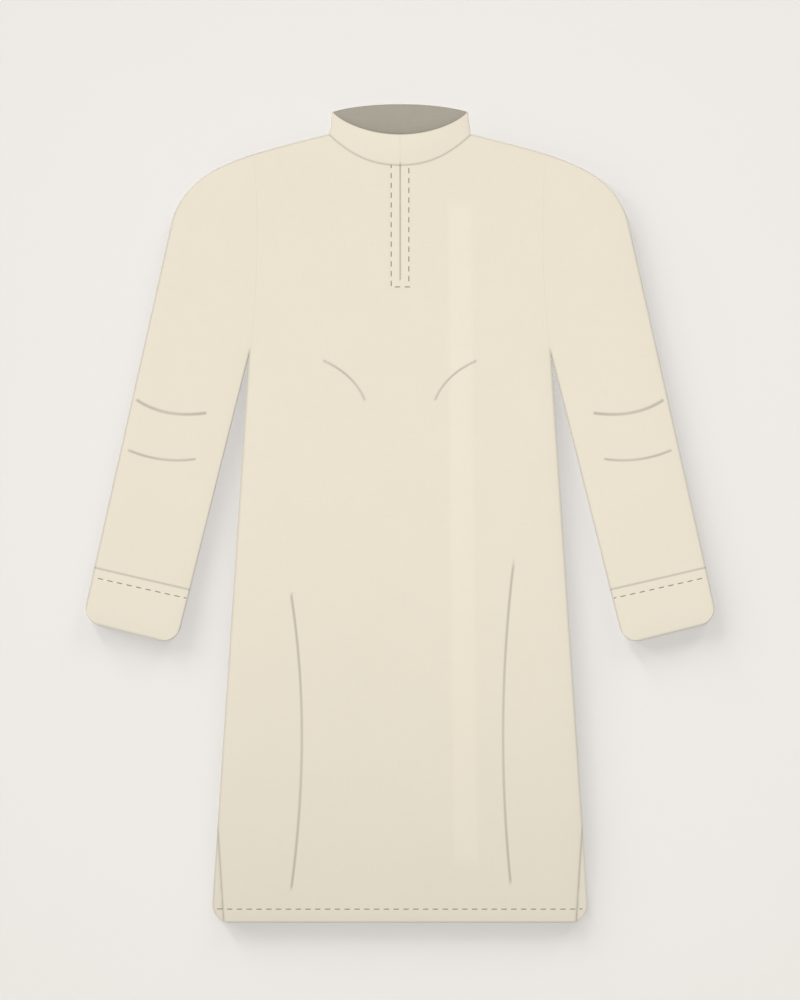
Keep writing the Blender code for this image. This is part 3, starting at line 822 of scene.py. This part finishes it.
def makeCuff(name, side):
    end = np.array(cut["cuffEnd"])
    depth = float(np.linalg.norm(end.mean(0) - cuffSeam.mean(0)))
    corner = cut["cuffCorner"]
    straight = stepsAlong(0.0, depth - corner, cuffs["stationStep"], cuffs["stationSpots"])
    curved = depth - corner + corner * np.sin(np.linspace(0.0, math.pi / 2, cuffs["cornerRows"]))[1:]
    shares = np.concatenate([straight, curved]) / depth
    start = cuffSeam + towardsHand * hairline
    outer = start[0] + (end[0] - start[0]) * shares[:, None]
    inner = start[1] + (end[1] - start[1]) * shares[:, None]
    across = (inner - outer) / np.linalg.norm(inner - outer, axis=1)[:, None]
    inset = np.array([roundedInset((1.0 - share) * depth, corner) for share in shares])[:, None]
    tube = tubeGrid(outer + across * inset, inner - across * inset, side, cuffs, cuffSeam[0] - end[0])
    x, y = tube["plan"][..., 0], tube["plan"][..., 1]
    row = bell(distanceTo(cuffStitchLine, abs(x), y)[0], cuffs["recessWidth"])
    return tubePiece(name, tube, cuffs["stitchDip"] * row, cuffs["recess"] * row, cuffs, trimCotton)


for sideName, side in (("Left", -1), ("Right", 1)):
    low = sideName.lower()
    declare(makeSleeve("sleeve" + sideName, side), "sleeve_" + low)
    declare(makeCuff("cuff" + sideName, side), "cuff_" + low)


strip = {
    "wall": 0.8,
    "rounding": 0.12,
    "columnStep": 1.4,
    "slitSpot": (0.3, 3.0),
    "edgeSpot": (0.5, 3.0),
    "footRows": 12,
    "rows": (150.0, 3.0, ((0.0, 0.6, 5.0), (150.0, 0.6, 5.0))),
    "slitEndY": 302.6,
    "slitEnd": (0.5, 0.9),  # how far under it the leaves start to turn, and how softly
    "slitHalf": 0.2,
    "slitX": 0.4,
    "proud": 0.1,  # a doubled strip stands a little above the front
    "border": 1.0,
    "turn": 1.5,  # both leaves turn down into the slit
    "turnWidth": 1.2,
    # painted shade where the leaves turn down into the slit
    "slitShade": 0.22,
}


def makePlacket():
    half, slit = slotHalf - hairline, strip["slitHalf"]
    leaf = stepsAlong(slit, half, strip["columnStep"],
                      [(slit, *strip["slitSpot"]), (half, *strip["edgeSpot"])])
    xs = np.concatenate([-leaf[::-1], leaf])
    foot, slitEnd = slotFootY + hairline, strip["slitEndY"]
    tops = np.array([neckSeamY(x) for x in xs])
    below = np.linspace(0.0, 1.0, strip["footRows"])[:, None]
    above = sharesOf(*strip["rows"])[1:, None]
    y = np.vstack([foot + (slitEnd - foot) * below + 0.0 * xs, slitEnd + (tops - slitEnd) * above])
    x = np.broadcast_to(xs, y.shape)
    z, tone = upperCloth(x, y)
    border = np.minimum(half - abs(x), y - foot)
    z += strip["proud"] * (1.0 - bell(border, strip["border"]))
    under, soft = strip["slitEnd"]
    parted = 0.5 + 0.5 * np.tanh((y - slitEnd + under) / soft)
    aside = x - strip["slitX"]
    z -= strip["turn"] * bell(aside, strip["turnWidth"]) * parted
    tone *= 1.0 - strip["slitShade"] * flatBell(aside, strip["turnWidth"]) * parted
    turnIntoNeckSeam(x, y, z, tone)
    middle = len(leaf) - 1

    def inSlit(i, j):
        return i >= len(below) - 1 and j == middle

    grid = np.dstack([x, y, z])
    return clothPiece("placketStrip", grid, grid[..., :2], tone, strip, [trimCotton], leaveOut=inSlit)


placket = declare(makePlacket(), "placket")


band = {
    "wall": 1.6,
    "rounding": 0.24,
    "topHalf": 87.1,
    "sideTopY": 521.0,
    "frontDrop": 30.4,
    "backRise": 10.3,
    "arch": 16.0,  # height of the front's top edge over the table
    "fullness": 0.79,  # 1 would make its top edges parabolas
    "foldRadius": 1.2,
    "bulge": 1.4,
    "opening": 0.06,
    "foldPlace": 0.985,
    "paintedFrontLight": 0.024,  # painted light: the band's front is lightened towards its centre
    "meetingShade": 0.18,  # painted shade where its two ends come together over the slit
    "meetingSize": (1.2, 4.6),
    # painted shade along the band's top rim
    "rimShade": 0.1,
    "rimWidth": 1.1,
    "seamDip": 0.6,  # of the front's own
    "seamGap": 0.2,
    "clearance": 0.1,
    "step": 2.2,
    "openingSpot": (0.6, 3.0),
    "foldSpot": (0.8, 6.0),
    "rows": (30.0, 2.0, ((0.0, 0.6, 4.0), (30.0, 0.6, 4.0))),
}


# mid-wall points of the band: x runs from -1 to 1 across it, up from 0 at the seam to 1 at the top
def bandPoint(x, isFront, up):
    baseX, topX = x * neckHalf, x * band["topHalf"]
    arch = (1.0 - x**2) ** band["fullness"]
    low, gap = band["wall"] / 2 + band["clearance"], band["seamGap"]
    sideZ = low + 2 * band["foldRadius"]
    if isFront:
        seamY = neckSeamY(baseX)
        base = (baseX, seamY + gap, max(sideZ, float(upperCloth(baseX, seamY)[0])))
        topY = band["sideTopY"] - band["frontDrop"] * arch
        top = (topX, topY, sideZ + (band["arch"] - sideZ) * arch)
    else:
        base = (baseX, cut["neckCornerY"] + gap, low)
        top = (topX, band["sideTopY"] + band["backRise"] * arch, low)
    base, top = np.array(base), np.array(top)
    points = base + (top - base) * up[:, None]
    if isFront:
        points[:, 2] += band["bulge"] * np.sin(math.pi * up) * arch
    return points


# the band's fold at one side, between its front and its back
def bandFold(front, back, side):
    columns = []
    for angle in foldAngles:
        turned = max(0.0, math.sin(angle))
        column = (front + back) / 2 + math.sin(angle) * (front - back) / 2
        column[:, :2] = back[:, :2] + (front[:, :2] - back[:, :2]) * turned
        column[:, 0] += side * band["foldRadius"] * math.cos(angle)
        columns.append(column)
    return columns if side > 0 else columns[::-1]


def makeCollar():
    up = sharesOf(*band["rows"])
    step, edge = band["step"], band["foldPlace"] * neckHalf
    spots = [(0.0, *band["openingSpot"]), (edge, *band["foldSpot"])]
    xs = stepsAlong(band["opening"] / 2, edge, step, spots) / neckHalf
    right = [bandPoint(x, True, up) for x in xs]
    left = [bandPoint(-x, True, up) for x in xs[::-1]]
    backXs = stepsAlong(edge, -edge, step) / neckHalf
    behind = [bandPoint(x, False, up) for x in backXs]
    columns = (right + bandFold(right[-1], behind[0], 1) + behind
               + bandFold(left[0], behind[-1], -1) + left)
    grid = np.array(columns).transpose(1, 0, 2)
    steps = np.linalg.norm(np.diff(grid, axis=1), axis=2)
    girth = np.concatenate([[0.0], np.cumsum(steps[len(up) // 2])])
    rises = np.linalg.norm(np.diff(grid, axis=0), axis=2)
    rises = np.vstack([np.zeros(len(columns)), np.cumsum(rises, axis=0)])
    lay = np.dstack([np.broadcast_to(girth, rises.shape), rises])
    isFront = np.zeros(len(columns))
    isFront[:len(right)] = isFront[-len(left):] = 1.0
    seam = bell(rises, seamRoll["width"])
    rim = bell(rises[-1] - rises, band["rimWidth"])
    tone = (1.0 - seamRoll["shade"] * seam) * (1.0 - band["rimShade"] * rim)
    tone *= 1.0 + band["paintedFrontLight"] * isFront * (1.0 - (grid[..., 0] / neckHalf) ** 2)
    width, height = band["meetingSize"]
    meeting = bell(grid[..., 0] - strip["slitX"], width) * flatBell(rises, height) * isFront
    tone *= 1.0 - band["meetingShade"] * meeting
    grid[..., 2] -= band["seamDip"] * seamRoll["depth"] * seam * isFront
    return clothPiece("collarBand", grid, lay, tone, band, [trimCotton, innerBandShadeCotton], insideSlot=1)


declare(makeCollar(), "collar")


stitch = {
    "length": 7.4,
    "width": 1.3,  # doubled topstitching thread, drawn half as thick again so that it shows
    "height": 0.8,
    "pitch": 12.74,
    "sides": 10,
    "rings": 6,
    "tip": 0.5,
    "footing": 0.4,  # the cloth's height is taken at this share of its length to each side
    "rise": 0.16,  # how far its middle stands out of the cloth, less the half that is sunk
    "dive": 0.15,  # its ends go down into the cloth
    "middle": 0.05,  # what lies this near its middle isn't drawn out
    "lookFrom": 100.0,  # how far over or under the table the look for the cloth starts
}
stitchRows = {
    "hemStart": -237.9,  # the first stitch lies on the back, beside the front's hem
    "hemCount": 38,
    "hemLastShare": 0.5,
    "placketPath": ((-11.45, 454.6), (-11.45, 293.5), (11.45, 293.5), (11.45, 454.6)),
    "placketCount": 27,
    "placketFirstDrop": 2.3,  # the first stitch comes out from under the collar's seam
    "placketFirstShare": 0.62,
    "cuffStart": 7.75,  # from the cuff's folded edge
    "cuffCount": 10,
    "cuffLastShare": 0.45,  # the last stitch runs out over the other fold
}


# one stitch: a ball drawn out into a short thread, whose ends go down into the cloth
def makeStitch():
    bpy.ops.object.select_all(action="DESELECT")
    bpy.ops.mesh.primitive_uv_sphere_add(
        segments=stitch["sides"], ring_count=stitch["rings"], radius=stitch["width"] / 2 * mm,
        rotation=(0.0, math.pi / 2, 0.0))
    thread = bpy.context.object
    thread.name = "stitchPattern"
    bpy.ops.object.transform_apply(location=False, rotation=True, scale=False)
    bpy.ops.object.mode_set(mode="EDIT")
    bpy.ops.mesh.select_mode(type="VERT")
    pull = (stitch["length"] - stitch["width"]) / 2 * mm
    for side in (-1, 1):
        selectWhere(thread, lambda place: place.x * side > stitch["middle"] * mm)
        bpy.ops.transform.translate(value=(side * pull, 0.0, 0.0))
    selectWhere(thread, lambda place: True)
    bpy.ops.transform.resize(value=(1.0, 1.0, stitch["height"] / stitch["width"]))
    tip = stitch["length"] / 2 * mm - stitch["tip"] * mm
    for side in (-1, 1):
        selectWhere(thread, lambda place: place.x * side > tip)
        bpy.ops.transform.translate(value=(0.0, 0.0, -stitch["dive"] * mm))
    bpy.ops.object.mode_set(mode="OBJECT")
    thread.data.shade_smooth()
    thread.data.materials.append(threadMaterial)
    return thread


def selectWhere(piece, test):
    bpy.ops.mesh.select_all(action="DESELECT")
    bpy.ops.object.mode_set(mode="OBJECT")
    for vertex in piece.data.vertices:
        vertex.select = test(vertex.co)
    bpy.ops.object.mode_set(mode="EDIT")


# centres and directions of stitches along a path
def alongPath(path, count, start=0.0):
    path = np.array(path, float)
    lengths = distancesAlong(path)
    places = []
    for k in range(count):
        at = start + k * stitch["pitch"] + stitch["length"] / 2
        leg = min(int(np.searchsorted(lengths, at, side="right")) - 1, len(path) - 2)
        way = unit(path[leg + 1] - path[leg])
        places.append((path[leg] + way * (at - lengths[leg]), way, 1.0))
    return places


# a stitch of which only the first share shows
def cutShort(place, share):
    centre, way, _ = place
    return centre - way * stitch["length"] * (1.0 - share) / 2, way, share


# copies the stitch to each place, on the cloth found there from above or from below
def sewRow(name, places, cloth, fromBelow=False):
    pattern = makeStitch()
    outward = -1.0 if fromBelow else 1.0
    footing = stitch["footing"]
    copies = []
    for centre, way, share in places:
        heights = []
        for end in (-1, 1):
            spot = (centre + way * end * share * stitch["length"] * footing) * mm
            origin = Vector((spot[0], spot[1], outward * stitch["lookFrom"] * mm))
            found, hit, _, _ = cloth.ray_cast(origin, Vector((0.0, 0.0, -outward)))
            if not found:
                raise ValueError(f"{name}: no cloth under a stitch at {spot}")
            heights.append(hit.z)
        slope = math.atan2(heights[1] - heights[0], share * stitch["length"] * (2 * footing) * mm)
        turn = Matrix.Rotation(math.atan2(way[1], way[0]), 4, "Z") @ Matrix.Rotation(-slope, 4, "Y")
        if fromBelow:
            turn = turn @ Matrix.Rotation(math.pi, 4, "X")
        z = sum(heights) / 2 + outward * stitch["rise"] * mm
        turn = turn @ Matrix.Diagonal((share, 1.0, 1.0, 1.0))
        copy = addToScene(name, pattern.data.copy())
        copy.data.transform(Matrix.Translation((centre[0] * mm, centre[1] * mm, z)) @ turn)
        copies.append(copy)
    bpy.data.objects.remove(pattern)
    bpy.ops.object.select_all(action="DESELECT")
    for copy in copies:
        copy.select_set(True)
    bpy.context.view_layer.objects.active = copies[0]
    bpy.ops.object.join()
    row = copies[0]
    row.name = row.data.name = name
    row.select_set(False)
    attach(row, "root")
    print(name + ":", len(places), "stitches")
    return row


hemX, stitchY = stitchRows["hemStart"], hemY + cut["hemDepth"]
hemPlaces = alongPath([(hemX, stitchY), (-hemX, stitchY)], stitchRows["hemCount"])
sewRow("hemStitchesFront", hemPlaces[1:-1], front)
lastPlace = cutShort(hemPlaces[-1], stitchRows["hemLastShare"])
sewRow("hemStitchesBackInside", [hemPlaces[0], lastPlace], back)
sewRow("hemStitchesBack", hemPlaces[:-1] + [lastPlace], back, fromBelow=True)
placketPlaces = alongPath(stitchRows["placketPath"], stitchRows["placketCount"])
placketPlaces[0][0][1] -= stitchRows["placketFirstDrop"]
placketPlaces[0] = cutShort(placketPlaces[0], stitchRows["placketFirstShare"])
sewRow("placketStitches", placketPlaces, placket)
for sideName, side in (("Left", -1), ("Right", 1)):
    line = cuffStitchLine * np.array([side, 1.0])
    cuff = bpy.data.objects["cuff" + sideName]
    places = alongPath(line, stitchRows["cuffCount"], stitchRows["cuffStart"])
    places[-1] = cutShort(places[-1], stitchRows["cuffLastShare"])
    sewRow("cuffStitches" + sideName, places, cuff)
    sewRow("cuffStitchesUnder" + sideName, places[:-1], cuff, fromBelow=True)


studio = {
    "floorSize": 14.0,  # metres, as are the heights and distances here
    "floorCentre": (0.0, 0.18, 0.0),  # painted pool of light: the board is brightest there, and darker by a metre away
    "floorColour": "CAC7C5",
    "outerColour": "C6C3BF",
    "mottle": 0.3,
    "skyColour": "FFFEFB",
    "sky": 0.38,
    "overhead": {"height": 5.4, "size": 2.4, "share": 0.34},
    # of each distant lamp: azimuth, elevation and width in degrees, then its share
    "key": (130, 74, 20, 0.33),
    "low": (
        (120, 4, 7, 0.150), (150, 4, 7, 0.125), (105, 6, 9, 0.041),
        (60, 4, 7, 0.085), (190, 4, 7, 0.030), (225, 4, 7, 0.024),
    ),
    "cameraHeight": 4.878,
    "cameraY": 0.0166,
    "lens": 135.0,
}


def addLight(name, kind, place, power):
    lamp = bpy.data.lights.new(name, kind)
    lamp.energy = power
    holder = addToScene(name, lamp)
    holder.location = place
    holder.rotation_euler = place.to_track_quat("Z", "Y").to_euler()
    return holder


# a distant lamp whose share is how much of full white it gives to a level white surface
def addDistant(name, azimuth, elevation, width, share):
    a, e = math.radians(azimuth), math.radians(elevation)
    place = Vector((math.cos(a) * math.cos(e), math.sin(a) * math.cos(e), math.sin(e)))
    lamp = addLight(name, "SUN", place * 3.0, share * math.pi / math.sin(e))
    lamp.data.angle = math.radians(width)
    return lamp


# Matt board, painted with a roller: no gloss, and a tooth too fine to see from here.
def mattBoard():
    material, tree, shader = newMaterial("painted_matt_board", {
        "Roughness": 0.9,
        "Specular IOR Level": 0.1,
    })
    place = addNode(tree, "TexCoord", {})["Object"]
    grain = addNode(tree, "TexNoise", {"Scale": 3.0, "Detail": 3.0, "Vector": place})
    # painted pool of light: darker with the square of the distance from the board's centre, plus grain
    away = addNode(tree, "VectorMath", {"operation": "SUBTRACT"}, place, studio["floorCentre"])[0]
    square = addNode(tree, "VectorMath", {"operation": "DOT_PRODUCT"}, away, away)["Value"]
    grainAndPaintedFalloff = addNode(tree, "Math", {"operation": "MULTIPLY_ADD"}, grain["Fac"], studio["mottle"], square)
    paint = addNode(tree, "Mix", {"data_type": "RGBA", 0: grainAndPaintedFalloff[0], 6: toLinear(studio["floorColour"]),
                                  7: toLinear(studio["outerColour"])})
    tree.links.new(paint[2], shader.inputs["Base Color"])
    return material


bpy.ops.object.select_all(action="DESELECT")
bpy.ops.mesh.primitive_plane_add(size=studio["floorSize"], location=(0.0, 0.0, 0.0))
floor = bpy.context.object
floor.name = "floor"
floor.data.materials.append(mattBoard())

world = bpy.data.worlds.new("studio")
world.use_nodes = True
world.node_tree.nodes["Background"].inputs["Color"].default_value = toLinear(studio["skyColour"])
world.node_tree.nodes["Background"].inputs["Strength"].default_value = studio["sky"]
bpy.context.scene.world = world

overhead = studio["overhead"]
softbox = addLight("overheadSoftbox", "AREA", Vector((0.0, 0.0, overhead["height"])),
                   overhead["share"] * math.pi**2 * overhead["height"] ** 2)
softbox.data.size = overhead["size"]
addDistant("keyLight", *studio["key"])
onlyFloor = bpy.data.collections.new("litByLowLights")
onlyFloor.objects.link(floor)
flatCloth = bpy.data.collections.new("shadesLowLights")  # the standing collar would throw a long wedge
for name in ("frontPanel", "backPanel", "sleeveLeft", "sleeveRight", "cuffLeft", "cuffRight"):
    flatCloth.objects.link(bpy.data.objects[name])
for number, settings in enumerate(studio["low"]):
    lowLight = addDistant("lowLight" + str(number + 1), *settings)
    lowLight.light_linking.receiver_collection = onlyFloor
    lowLight.light_linking.blocker_collection = flatCloth

lens = bpy.data.cameras.new("camera")
lens.lens = studio["lens"]
lens.sensor_width = 36.0
camera = addToScene("camera", lens)
camera.location = (0.0, studio["cameraY"], studio["cameraHeight"])
bpy.context.scene.camera = camera
bpy.context.scene.view_settings.view_transform = "Standard"
print("stage, lights and camera ready")
